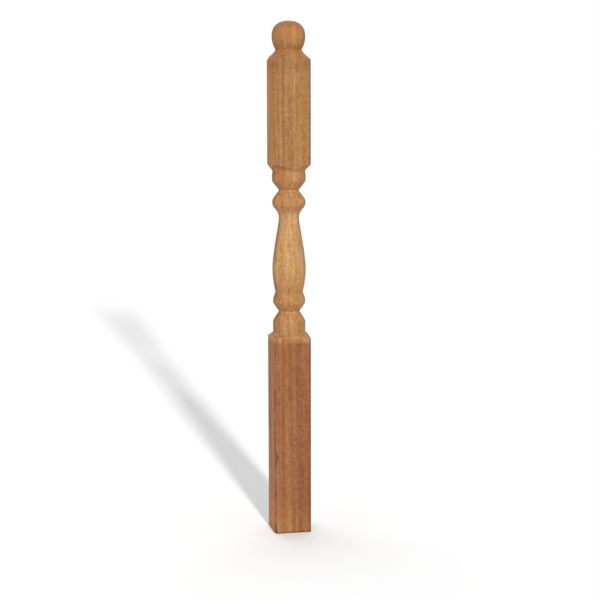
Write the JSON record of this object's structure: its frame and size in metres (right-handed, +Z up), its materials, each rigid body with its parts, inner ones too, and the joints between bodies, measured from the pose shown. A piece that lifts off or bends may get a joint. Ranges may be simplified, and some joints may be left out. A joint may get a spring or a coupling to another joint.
{
  "type": "newel post",
  "caption": "Turned square timber newel post with a long square foot, a vase and bead turning, a short square rail block and a ball top.",
  "frame": {"origin": "middle of the underside, on the surface that the post stands on", "axes": "+Z up along the post, towards the ball; the four faces of the square blocks look along +X, -X, +Y and -Y"},
  "size_m": [0.0888, 0.0888, 1.2128],
  "materials": {
    "cedar": "planed and turned western red cedar with a thin satin stain: warm tan above, redder brown on the lower block"
  },
  "bodies": {
    "root": {"newel_post": "cedar"}
  },
  "joints": []
}
